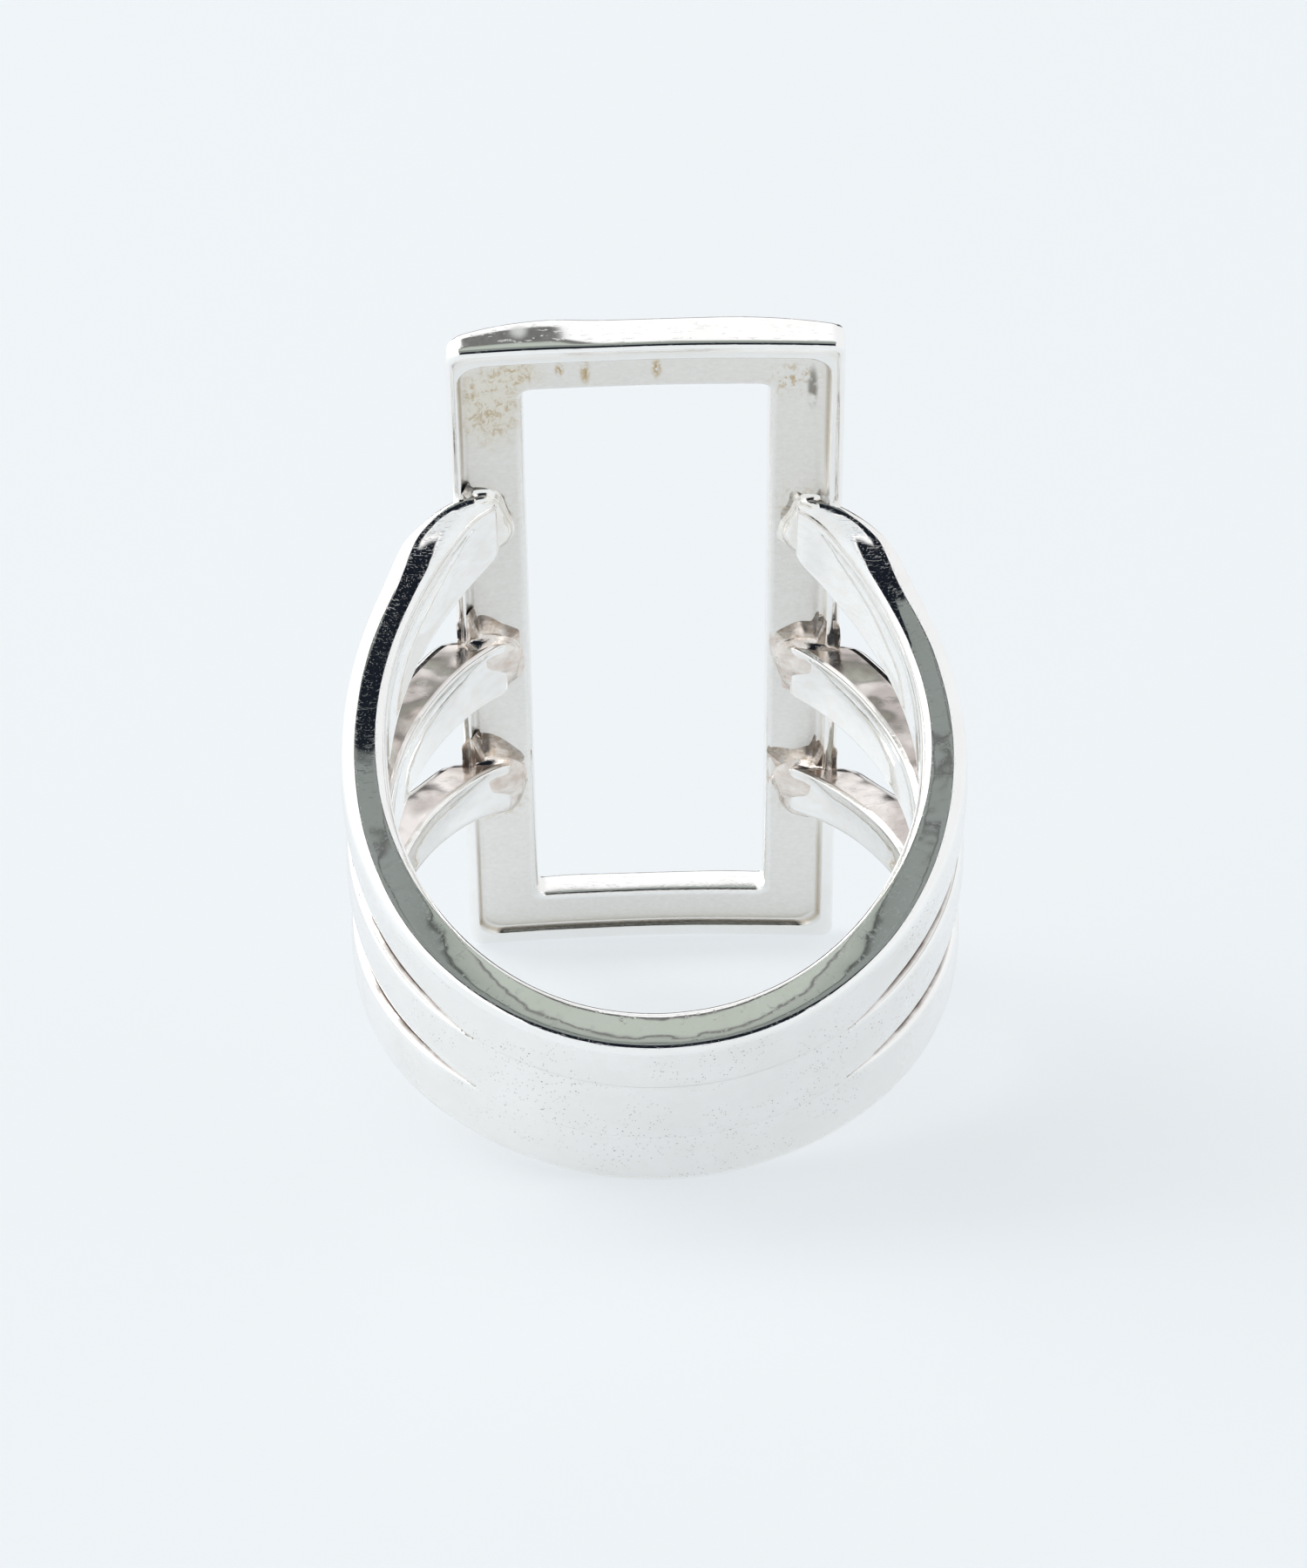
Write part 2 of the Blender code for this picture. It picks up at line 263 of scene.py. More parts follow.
def bars_material(name):
    """Mirror polish on the sides and edges, worn satin with casting pits on the palm, and
    dull, browned metal on the faces between the bars where no wheel reaches. Inside the
    narrow slits those faces are also darkened nearly to black as painted shade."""
    mat, nt, bsdf = new_mat(name)
    v = mm_coords(nt)
    r = ring_coords(nt, v)
    satin = attr(nt, "satin")
    raw = attr(nt, "raw")
    slit = attr(nt, "slit")
    foot = attr(nt, "foot")
    # fine polishing scratches run round the band
    s1 = noise(nt, scaled(nt, r, (1.2, 16, 1.2)), 2.2, 3, 0.6)
    s1 = ramp(nt, s1, [(0.60, 0.0), (0.66, 1.0)])
    s2 = noise(nt, scaled(nt, r, (9, 1.0, 9), (0.3, 0.5, 0.2)), 1.8, 3, 0.65)
    s2 = ramp(nt, s2, [(0.63, 0.0), (0.67, 1.0)])
    scr = math_n(nt, 'ADD', s1, s2, clamp=True)
    # casting pits, in drifts
    where = ramp(nt, noise(nt, r, 0.40, 2, 0.5), [(0.43, 0.0), (0.56, 1.0)])
    pit = voronoi(nt, r, 2.6)
    pit_small = voronoi(nt, r, 6.5)
    pit = ramp(nt, pit, [(0.0, 1.0), (0.06, 1.0), (0.10, 0.0)])
    pit_small = ramp(nt, pit_small, [(0.0, 1.0), (0.10, 1.0), (0.17, 0.0)])
    pits = math_n(nt, 'MULTIPLY', math_n(nt, 'ADD', pit, pit_small, clamp=True), where)
    pits = math_n(nt, 'MULTIPLY', pits, satin)
    cloud = noise(nt, r, 0.55, 4, 0.55)
    base = mix_col(nt, ramp(nt, cloud, [(0.35, 0.0), (0.7, 1.0)]), SILVER, (0.955, 0.94, 0.915))
    base = mix_col(nt, math_n(nt, 'MULTIPLY', pits, 0.80), base, (0.24, 0.21, 0.18))
    tarn = noise(nt, r, 0.75, 2, 0.5)
    brown = mix_col(nt, ramp(nt, tarn, [(0.40, 0.0), (0.60, 1.0)]), (0.86, 0.79, 0.75), (0.42, 0.35, 0.32))
    base = mix_col(nt, math_n(nt, 'MULTIPLY', raw, 0.75), base, brown)
    # painted shade: the faces inside the narrow slits between the bars are darkened nearly to black, fading out as
    # the slit widens
    painted_slit_shade = math_n(nt, 'MULTIPLY', slit, ramp(nt, noise(nt, r, 2.4, 3), [(0.30, 0.35), (0.60, 1.0)]))
    base = mix_col(nt, math_n(nt, 'MULTIPLY', painted_slit_shade, 0.88), base, (0.16, 0.12, 0.095))
    warm = math_n(nt, 'MULTIPLY', foot, ramp(nt, noise(nt, r, 1.6, 3), [(0.42, 0.0), (0.70, 1.0)]))
    base = mix_col(nt, math_n(nt, 'MULTIPLY', warm, 0.30), base, (0.84, 0.76, 0.68))
    nt.links.new(base, bsdf.inputs["Base Color"])
    bsdf.inputs["Metallic"].default_value = 1.0
    ro = math_n(nt, 'MULTIPLY_ADD', satin, 0.27, 0.04)
    ro = math_n(nt, 'ADD', ro, math_n(nt, 'MULTIPLY', raw, 0.12))
    ro = math_n(nt, 'ADD', ro, math_n(nt, 'MULTIPLY', scr, 0.05))
    ro = math_n(nt, 'ADD', ro, math_n(nt, 'MULTIPLY', cloud, 0.03))
    ro = math_n(nt, 'ADD', ro, math_n(nt, 'MULTIPLY', painted_slit_shade, 0.2))
    nt.links.new(ro, bsdf.inputs["Roughness"])
    wave = noise(nt, r, 0.50, 1, 0.4)
    n1 = bump(nt, wave, 0.035, 1.0)
    ripple = noise(nt, scaled(nt, r, (1, 1, 1)), 1.5, 1, 0.5)
    n1 = bump(nt, ripple, 0.006, 1.0, n1)
    grain = noise(nt, scaled(nt, r, (1, 4, 1)), 9.0, 3, 0.6)
    n2 = bump(nt, math_n(nt, 'MULTIPLY', grain, satin), 0.012, 1.0, n1)
    lumps = math_n(nt, 'MULTIPLY', noise(nt, r, 0.75, 1, 0.4), raw)
    n2 = bump(nt, lumps, 0.16, 1.0, n2)
    n3 = bump(nt, math_n(nt, 'MULTIPLY', scr, -1.0), 0.0012, 0.8, n2)
    n4 = bump(nt, math_n(nt, 'MULTIPLY', pits, -1.0), 0.05, 1.0, n3)
    nt.links.new(n4, bsdf.inputs["Normal"])
    return mat


def head_material(name):
    """Bright outer walls, and an as-cast grey hollow underneath with flux stains."""
    mat, nt, bsdf = new_mat(name)
    v = mm_coords(nt)
    r = ring_coords(nt, v)
    under = attr(nt, "under")
    crease = attr(nt, "crease")
    cloud = noise(nt, r, 0.5, 4, 0.55)
    fine = noise(nt, r, 5.5, 4, 0.65)
    base = mix_col(nt, ramp(nt, cloud, [(0.35, 0.0), (0.7, 1.0)]), SILVER, (0.955, 0.94, 0.915))
    dull = mix_col(nt, ramp(nt, fine, [(0.3, 0.0), (0.75, 1.0)]), (0.905, 0.89, 0.86), (0.83, 0.812, 0.77))
    base = mix_col(nt, math_n(nt, 'MULTIPLY', under, 0.9), base, dull)
    # brown flux stains: a drift by the near left corner, streaks on the near bar, one corner
    z = HEAD_Z + 0.2
    rs = scaled(nt, r, (1, 0.55, 1))
    blot = noise(nt, rs, 3.4, 8, 0.85, 0.6)
    fleck = noise(nt, rs, 4.6, 5, 0.75, 0.6)
    m_left = total(nt, [spot(nt, r, (-4.95, -15.3, z), (1.5, 3.1, 1.8), 0.7),
                        spot(nt, r, (-4.2, -17.0, z), (1.3, 1.0, 1.8), 0.7)])
    m_bar = total(nt, [spot(nt, r, (-1.9, -17.0, z), (0.22, 0.95, 1.5), 0.9),
                       spot(nt, r, (-0.0 + 0.35, -17.1, z), (0.22, 0.8, 1.5), 0.9),
                       spot(nt, r, (-2.7, -17.2, z), (0.2, 0.5, 1.5), 0.9)])
    m_right = spot(nt, r, (4.7, -16.4, z), (1.2, 1.4, 1.5), 0.9)
    st = math_n(nt, 'MULTIPLY', m_left, ramp(nt, blot, [(0.50, 0.0), (0.56, 0.55), (0.64, 1.0)]))
    st2 = math_n(nt, 'MULTIPLY', m_bar, ramp(nt, fleck, [(0.42, 0.0), (0.50, 1.0)]))
    st3 = math_n(nt, 'MULTIPLY', m_right, ramp(nt, fleck, [(0.52, 0.0), (0.60, 0.8)]))
    m_foot = total(nt, [spot(nt, r, (sx * 5.1, yy, z), (1.5, 1.9, 1.6), 0.8)
                        for sx in (-1, 1) for yy in (-9.2, 0.0, 9.2)])
    st4 = math_n(nt, 'MULTIPLY', m_foot, ramp(nt, fleck, [(0.50, 0.0), (0.66, 0.55)]))
    stain = math_n(nt, 'MULTIPLY', total(nt, [st, st2, st3, st4]), under)
    base = mix_col(nt, math_n(nt, 'MULTIPLY', math_n(nt, 'MULTIPLY', m_left, under), 0.55), base, (0.86, 0.80, 0.67))
    base = mix_col(nt, math_n(nt, 'MULTIPLY', stain, 0.80), base, (0.56, 0.37, 0.11))
    base = mix_col(nt, math_n(nt, 'MULTIPLY', crease, 0.75), base, (0.46, 0.38, 0.27))
    # one dark streak beside the near right corner
    dark = math_n(nt, 'MULTIPLY', spot(nt, r, (5.25, -16.0, z), (0.22, 1.5, 1.5), 0.7),
                  ramp(nt, noise(nt, scaled(nt, r, (1, 0.6, 1)), 2.2, 2), [(0.40, 0.0), (0.52, 1.0)]))
    base = mix_col(nt, math_n(nt, 'MULTIPLY', dark, 0.8), base, (0.20, 0.18, 0.15))
    nt.links.new(base, bsdf.inputs["Base Color"])
    bsdf.inputs["Metallic"].default_value = 1.0
    ro = math_n(nt, 'MULTIPLY_ADD', under, 0.34, 0.05)
    ro = math_n(nt, 'ADD', ro, math_n(nt, 'MULTIPLY', fine, 0.07))
    ro = math_n(nt, 'ADD', ro, math_n(nt, 'MULTIPLY', stain, 0.2), clamp=True)
    worn = spot(nt, r, (-3.95, -18.7, HEAD_Z + 0.72), (0.42, 0.6, 0.42), 1.0)
    ro = math_n(nt, 'ADD', ro, math_n(nt, 'MULTIPLY', worn, 0.20), clamp=True)
    nt.links.new(ro, bsdf.inputs["Roughness"])
    wave = noise(nt, r, 0.6, 1, 0.4)
    n1 = bump(nt, wave, 0.022, 1.0)
    s1 = noise(nt, scaled(nt, r, (1.2, 14, 5), (0.1, 0.15, 0.3)), 2.0, 3, 0.6)
    s1 = ramp(nt, s1, [(0.61, 0.0), (0.66, 1.0)])
    n2 = bump(nt, s1, 0.0012, 0.7, n1)
    rough_cast = math_n(nt, 'MULTIPLY', noise(nt, r, 7.5, 5, 0.7), under)
    n3 = bump(nt, rough_cast, 0.022, 1.0, n2)
    n4 = bump(nt, stain, 0.012, 0.8, n3)
    nt.links.new(n4, bsdf.inputs["Normal"])
    return mat


def solder_material(name, tint, warm, lump):
    mat, nt, bsdf = new_mat(name)
    v = mm_coords(nt)
    r = ring_coords(nt, v)
    edge = attr(nt, "edge")
    a = noise(nt, r, 1.4, 4, 0.6)
    b = noise(nt, r, 5.0, 4, 0.7)
    base = mix_col(nt, ramp(nt, a, [(0.35, 0.0), (0.68, 1.0)]), tint, warm)
    stain = math_n(nt, 'MULTIPLY', ramp(nt, b, [(0.44, 0.0), (0.60, 1.0)]), edge)
    base = mix_col(nt, math_n(nt, 'MULTIPLY', stain, 0.55), base, (0.50, 0.38, 0.24))
    nt.links.new(base, bsdf.inputs["Base Color"])
    bsdf.inputs["Metallic"].default_value = 1.0
    ro = math_n(nt, 'MULTIPLY_ADD', b, 0.10, 0.03)
    ro = math_n(nt, 'ADD', ro, math_n(nt, 'MULTIPLY', edge, 0.22), clamp=True)
    nt.links.new(ro, bsdf.inputs["Roughness"])
    n1 = bump(nt, noise(nt, r, 0.9, 1, 0.5), lump, 1.0)
    n2 = bump(nt, b, 0.012, 1.0, n1)
    nt.links.new(n2, bsdf.inputs["Normal"])
    return mat


# ------------------------------------------------------------------ mesh helpers
def grid_object(name, P, close_u, close_v, cap_u, mats, attrs=None, flip=False):
    """P is (nu, nv, 3) in ring-frame millimetres; u runs along the piece, v round it."""
    nu, nv = P.shape[:2]
    verts = world(P.reshape(-1, 3))
    idx = np.arange(nu * nv).reshape(nu, nv)
    faces = []
    ru = range(nu) if close_u else range(nu - 1)
    rv = range(nv) if close_v else range(nv - 1)
    for i in ru:
        a = idx[i]
        b = idx[(i + 1) % nu]
        for j in rv:
            k = (j + 1) % nv
            f = (a[j], a[k], b[k], b[j])
            faces.append(f[::-1] if flip else f)
    extra = []
    if cap_u:
        for row, rev in ((0, flip), (nu - 1, not flip)):
            c = P[row].mean(0)
            extra.append(c)
            ci = nu * nv + len(extra) - 1
            for j in range(nv):
                k = (j + 1) % nv
                f = (idx[row][j], idx[row][k], ci)
                faces.append(f if rev else f[::-1])
    if extra:
        verts = np.vstack([verts, world(np.array(extra))])
    me = bpy.data.meshes.new(name)
    me.from_pydata([tuple(v) for v in verts], [], [tuple(int(i) for i in f) for f in faces])
    me.validate()
    me.update()
    for an, arr in (attrs or {}).items():
        vals = np.zeros(len(verts), np.float32)
        vals[:nu * nv] = np.asarray(arr, float).reshape(-1)
        if extra:
            vals[nu * nv] = np.asarray(arr, float)[0].mean()
            vals[nu * nv + 1] = np.asarray(arr, float)[-1].mean()
        at = me.attributes.new(an, 'FLOAT', 'POINT')
        at.data.foreach_set("value", vals)
    ob = bpy.data.objects.new(name, me)
    scene.collection.objects.link(ob)
    for m in mats:
        me.materials.append(m)
    me.shade_smooth()
    return ob


def finish_mesh(ob, sharp_deg=None):
    import bmesh
    bm = bmesh.new()
    bm.from_mesh(ob.data)
    bmesh.ops.recalc_face_normals(bm, faces=bm.faces)
    bm.to_mesh(ob.data)
    bm.free()
    ob.data.shade_smooth()
    if sharp_deg:
        ob.data.set_sharp_from_angle(angle=math.radians(sharp_deg))
    return ob


# ------------------------------------------------------------------ head frame
def top_fall(x):
    left = 0.62 * np.clip((-x - 2.0) / 4.1, 0, 1.05) ** 2.4
    right = 0.42 * np.clip((x - 2.2) / 3.9, 0, 1.05) ** 2.0
    return -(left + right)


def low_fall(x):
    return -0.20 * (x / HEAD_W) ** 2


def rloop(x0, x1, y0, y1, r, nc=12, ns=52, nl=120):
    """Rounded rectangle; r may be one radius or four: +x+y, -x+y, -x-y, +x-y."""
    rr = [r] * 4 if np.isscalar(r) else list(r)
    pts = []
    corners = ((x1, y1, -1, -1, 0), (x0, y1, 1, -1, 90), (x0, y0, 1, 1, 180), (x1, y0, -1, 1, 270))
    arcs = []
    for (cx, cy, sx, sy, a0), rad in zip(corners, rr):
        rad = max(rad, 0.03)
        ox, oy = cx + sx * rad, cy + sy * rad
        a = np.radians(a0 + 90.0 * np.arange(nc + 1) / nc)
        arcs.append(np.stack([ox + rad * np.cos(a), oy + rad * np.sin(a)], -1))
    for i in range(4):
        pts.append(arcs[i])
        n = ns if i in (0, 2) else nl
        t = (np.arange(1, n) / n)[:, None]
        pts.append(arcs[i][-1] * (1 - t) + arcs[(i + 1) % 4][0] * t)
    return np.vstack(pts)


def make_head(mat):
    W, L = HEAD_W, HEAD_L
    sections, under, crease = [], [], []

    def outer(a):
        return rloop(-W + a, W - a, -L + a, L - a, [max(0.03, q - a) for q in (0.5, 0.5, 0.62, 0.45)])

    def hollow(e):
        # e 0 at the rim of the hollow, 1 at the foot of its wall
        x0 = -W + 0.34 + 0.30 * e
        x1 = W - 0.42 - 0.52 * e
        yn = -L + 0.74 + 0.22 * e
        yf = L - 0.74 - 0.22 * e
        return rloop(x0, x1, yn, yf, (0.8 - 0.1 * e, 0.8, 0.95, 0.85))

    def win(a, far=0.0):
        return rloop(-WIN_W - a, WIN_W + a, -WIN_L - a, WIN_L + a + far, 0.30 + a)

    def put(loop, h, top, un, cr, tilt=0.0):
        x, y = loop[:, 0], loop[:, 1]
        z = HEAD_Z + (HEAD_T + top_fall(x) if top else low_fall(x)) + h
        sections.append(np.stack([x, y, z], -1))
        under.append(np.full(len(x), un))
        crease.append(np.full(len(x), cr))

    e = 0.21
    # lower outer edge: from the wall (offset 0, height e) to the lip (offset e, height 0)
    for a in np.linspace(0, 90, 8):
        t = math.radians(a)
        put(outer(e * (1 - math.cos(t))), e * (1 - math.sin(t)), False, 0.0, 0.0)
    # lip, slightly crowned, then the crease and the wall of the hollow
    rim = hollow(0.0)
    last = outer(e)
    for t in (0.2, 0.4, 0.6, 0.8, 0.92):
        put(last * (1 - t) + rim * t, -0.016 * math.sin(math.pi * t), False, 0.06, 0.0)
    put(rim, 0.010, False, 0.10, 0.2)
    for t in (0.05, 0.1, 0.2, 0.3, 0.4, 0.5, 0.6, 0.8, 0.92, 1.0):
        put(hollow(t), 0.27 * math.sin(min(1.0, t * 1.7) * math.pi / 2) - 0.03 * smooth((t - 0.5) / 0.5),
            False, min(1.0, 0.15 + 1.6 * t), math.exp(-((t - 0.22) / 0.14) ** 2))
        crease[-1] = crease[-1] * (0.25 + 0.75 * smooth((np.abs(hollow(t)[:, 1]) - 10.0) / 3.0))
    foot = hollow(1.0)
    b = 0.20
    edge = win(b)
    for t in (0.1, 0.25, 0.4, 0.55, 0.7, 0.85, 0.95):
        put(foot * (1 - t) + edge * t, 0.24, False, 1.0, 0.0)
    # window wall: rounded at both ends
    for a in np.linspace(0, 90, 8):
        t = math.radians(a)
        put(win(b * (1 - math.sin(t))), 0.24 + b * (1 - math.cos(t)), False, 0.55 * (1 - a / 90) + 0.1, 0.0)
    c = 0.16
    for a in np.linspace(0, 90, 7):
        t = math.radians(a)
        put(win(c * (1 - math.cos(t)), 0.16), -c * (1 - math.sin(t)), True, 0.0, 0.0)
    inner_top = win(c, 0.16)
    d = 0.14
    outer_top = outer(d)
    for t in (0.2, 0.4, 0.6, 0.8, 0.9):
        put(inner_top * (1 - t) + outer_top * t, 0.0, True, 0.0, 0.0)
    for a in np.linspace(0, 90, 7):
        t = math.radians(a)
        put(outer(d * (1 - math.sin(t))), -d * (1 - math.cos(t)), True, 0.0, 0.0)
    # outer wall
    lo = outer(0.0)
    zt = HEAD_Z + HEAD_T + top_fall(lo[:, 0]) - d
    zb = HEAD_Z + low_fall(lo[:, 0]) + e
    for t in (0.25, 0.5, 0.75):
        sections.append(np.stack([lo[:, 0], lo[:, 1], zt * (1 - t) + zb * t], -1))
        under.append(np.zeros(len(lo)))
        crease.append(np.zeros(len(lo)))
    P = np.array(sections)
    # hand-finished: the end walls lean a little and nothing is quite straight
    x, y, z = P[..., 0], P[..., 1], P[..., 2]
    near = smooth((-y - L + 0.25) / 0.2)
    lean = np.radians(1.75) + np.radians(4.6) * smooth((x + 3.1) / 1.8)
    P[..., 1] += near * np.tan(lean) * (z - HEAD_Z)
    P = P + (wob(P, 0.16, 3) * 0.012)[..., None] * np.array([0.6, 0.5, 1.0])
    ob = grid_object("ring_head", P, True, True, False, [mat],
                     {"under": np.array(under), "crease": np.array(crease)})
    return finish_mesh(ob)


# ------------------------------------------------------------------ bars
EDGES = {
    "near": (((0, -4.45), (20, -4.52), (40, -4.82), (60, -5.34), (80, -6.04),
              (100, -6.98), (120, -8.18), (135, -9.36), (142, -10.00), (150, -10.70)),
             ((0, -2.02), (36, -2.02), (50, -2.40), (70, -2.90), (90, -3.42),
              (110, -4.08), (130, -5.22), (142, -6.42), (150, -7.20))),
    "middle": (((0, -1.88), (36, -1.88), (50, -1.76), (70, -1.60), (90, -1.44),
                (110, -1.28), (130, -1.12), (142, -1.05), (150, -1.02)),
               ((0, 1.16), (36, 1.16), (50, 1.24), (70, 1.38), (90, 1.54),
                (110, 1.74), (130, 1.96), (142, 2.10), (150, 2.18))),
    "far": (((0, 1.30), (36, 1.30), (50, 1.80), (70, 2.66), (90, 3.66),
             (110, 4.85), (130, 6.12), (142, 6.74), (150, 7.10)),
            ((0, 4.45), (20, 4.52), (40, 4.85), (60, 5.42), (80, 6.18),
             (100, 7.16), (120, 8.36), (135, 9.42), (142, 9.98), (150, 10.55))),
}
SEAMS = {"near": -1.95, "far": 1.23}
END_Z = 7.34
END_DEG = math.degrees(math.acos(-END_Z / ((R_IN + R_FOOT) / 2)))


def skew(P):
    """The hand-set feet on the right sit a little farther along the finger than the left."""
    up = smooth((P[..., 2] + 2.0) / 7.0)
    out = P.copy()
    out[..., 1] += 0.42 * np.clip(P[..., 0] / 6.0, -1, 1) * up
    return out


def bar_section(r0, r1, y0, y1, radii, hollow, crown, bulge, nc=8, nr=9, ny=21):
    """Closed section (radius, y) and a label of its face: 0 near side, 1 outer, 2 far side,
    3 inner face, -1 corners."""
    ri0, ro0, ro1, ri1 = radii
    y0, y1 = y0 + bulge[0], y1 - bulge[1]
    out, lab = [], []
    spec = ((r0 + ri0, y0 + ri0, ri0, 180), (r1 - ro0, y0 + ro0, ro0, 270),
            (r1 - ro1, y1 - ro1, ro1, 0), (r0 + ri1, y1 - ri1, ri1, 90))
    arcs = []
    for cr, cy, rad, a0 in spec:
        a = np.radians(a0 + 90.0 * np.arange(nc + 1) / nc)
        arcs.append(np.stack([cr + rad * np.cos(a), cy + rad * np.sin(a)], -1))
    for i in range(4):
        out.append(arcs[i])
        lab += [-1] * len(arcs[i])
        n = nr if i in (0, 2) else ny
        t = (np.arange(1, n) / n)[:, None]
        out.append(arcs[i][-1] * (1 - t) + arcs[(i + 1) % 4][0] * t)
        lab += [i] * (n - 1)
    sec = np.vstack(out)
    tr = (sec[:, 0] - r0) / (r1 - r0)
    ty = (sec[:, 1] - y0) / (y1 - y0)
    arch_r, arch_y = 1 - (2 * tr - 1) ** 2, 1 - (2 * ty - 1) ** 2
    sec = sec.copy()
    sec[:, 1] += arch_r * (bulge[1] * smooth(2 * ty - 1) - bulge[0] * smooth(1 - 2 * ty))
    sec[:, 0] += arch_y * (crown * smooth(2 * tr - 1) + hollow * smooth(1 - 2 * tr))
    return sec, np.array(lab)


def make_bar(tag, name, mat, nst=340):
    us = np.linspace(-1, 1, nst)
    rows, satin, raw_a, slit_a, foot_a = [], [], [], [], []
    for u in us:
        th = abs(u) * END_DEG
        side = 1 if u >= 0 else -1
        y0, y1 = (float(table(rows_, th)) for rows_ in EDGES[tag])
        k = float(smooth((th - 36.0) / 16.0))
        up = float(smooth((th - 40.0) / 60.0))
        kk = float(smooth((th - 108.0) / 30.0))
        r1 = R_OUT + (R_FOOT - R_OUT) * kk + 0.40 * kk
        if tag == "near":
            r1 = R_OUT - 0.33 * float(smooth((th - 133.0) / 11.0))
        fo = 0.27 + 0.26 * up
        fi = 0.20 + 0.34 * up
        crisp = 0.10 * k + 0.004
        soft = 0.26 * k + 0.004
        radii = {"near": (fi, fo, soft, soft), "middle": (crisp, crisp, soft, crisp),
                 "far": (crisp, crisp, fo, fi)}[tag]
        bf, bs = 0.03 - 0.015 * up, 0.03 * k
        bulge = {"near": (bf, bs), "middle": (0.012, bs), "far": (0.012, bf)}[tag]
        hol = 0.28 * float(smooth((th - 84.0) / 30.0)) * (1 - float(smooth((th - (END_DEG - 10)) / 7.0)))
        crown = 0.09 * k
        sec, lab = bar_section(R_IN, r1, y0, y1, radii, hol, crown, bulge)
        # the joined palm is one smooth surface right across the three bars
        sec[:, 0] += 0.03 * (1 - k) * (1 - (sec[:, 1] / 4.6) ** 2) * smooth((sec[:, 0] - 9.2) / 0.5)
        dome, over_y = (0.048, 0.54) if tag == "near" else (0.030, 0.40)
        end = max(0.0, (abs(u) - 1 + dome) / dome)
        shrink = 1 - math.sqrt(max(0.0, 1 - end ** 2))
        if shrink > 0:
            c = np.array([(R_IN + r1) / 2, (y0 + y1) / 2])
            half = np.array([(r1 - R_IN) / 2, (y1 - y0) / 2])
            sec = c + (sec - c) * np.clip(1 - shrink * np.array([0.38, over_y]) / half, 0.05, 1)
        rr, yy = sec[:, 0], sec[:, 1]
        blend = float(smooth((abs(u) - 0.80) / 0.17))
        t = np.radians(th + (np.degrees(np.arccos(np.clip(-END_Z / rr, -1, 1))) - END_DEG) * blend) * side
        rows.append(np.stack([rr * np.sin(t), yy, -rr * np.cos(t)], -1))
        pal = 1 - float(smooth((th - 42.0) / 30.0))
        joined = {"near": sec[:, 1] > y1 - 0.2, "far": sec[:, 1] < y0 + 0.2,
                  "middle": np.ones(len(sec), bool)}[tag] & (sec[:, 0] > r1 - 0.02) & (k < 0.01)
        satin.append(np.where((lab == 1) | joined, 0.22 + 0.78 * pal, 0.0))
        between = {"near": (2,), "middle": (0, 2), "far": (0,)}[tag]
        m = np.isin(lab, between).astype(float)
        raw_a.append(m * float(smooth((th - 36) / 6.0)))
        slit_a.append(m * float(smooth((th - 35) / 4.0)) * (1 - float(smooth((th - 88) / 24.0))))
        foot_a.append(np.full(len(sec), float(smooth((th - 112) / 26.0))))
    P = np.array(rows)
    # polishing by hand leaves long soft ripples
    rad = P.copy()
    rad[..., 1] = 0
    rad /= np.linalg.norm(rad, axis=-1, keepdims=True)
    thf = np.abs(us) * END_DEG
    amp = 0.006 + 0.014 * smooth((thf - 40) / 40.0)
    P = P + rad * (wob(P, 0.13, 11) * amp[:, None])[..., None]
    seed = {"near": 20, "middle": 21, "far": 22}[tag]
    P[..., 1] += wob(P, 0.12, seed) * (0.055 * smooth((thf - 52) / 50.0))[:, None]
    P = skew(P)
    ob = grid_object(name, P, False, True, True, [mat],
                     {"satin": np.array(satin), "raw": np.array(raw_a), "slit": np.array(slit_a),
                      "foot": np.array(foot_a)})
    return finish_mesh(ob)


def make_strip(tag, name, mat):
    """Solder in the palm, dressed flush with the bars: at most a hairline shows."""
    yc = SEAMS[tag]
    half = 0.078
    drop = -0.003 if tag == "near" else 0.003
    rows = []
    for a in np.radians(np.linspace(-36.8, 36.8, 110)):
        q = []
        ro = [R_OUT + 0.03 * (1 - ((yc + y) / 4.6) ** 2) - drop for y in (-half, 0, half)]
        for r, y in ((R_IN + 0.002, -half), (9.3, -half), (ro[0], -half), (ro[1] - 0.0 * drop, 0),
                     (ro[2], half), (9.3, half), (R_IN + 0.002, half), (R_IN + 0.004, 0)):
            q.append((r * math.sin(a), yc + y, -r * math.cos(a)))
        rows.append(q)
    P = np.array(rows)
    P += 0.0
    rad = P.copy()
    rad[..., 1] = 0
    rad /= np.linalg.norm(rad, axis=-1, keepdims=True)
    P = P + rad * (wob(P, 0.13, 11) * 0.006)[..., None]
    top = np.zeros(P.shape[:2])
    top[:, 2:5] = 1.0
    zero = np.zeros(P.shape[:2])
    ob = grid_object(name, P, False, True, True, [mat],
                     {"satin": top, "raw": zero, "slit": zero, "foot": zero})
    return finish_mesh(ob, 40)


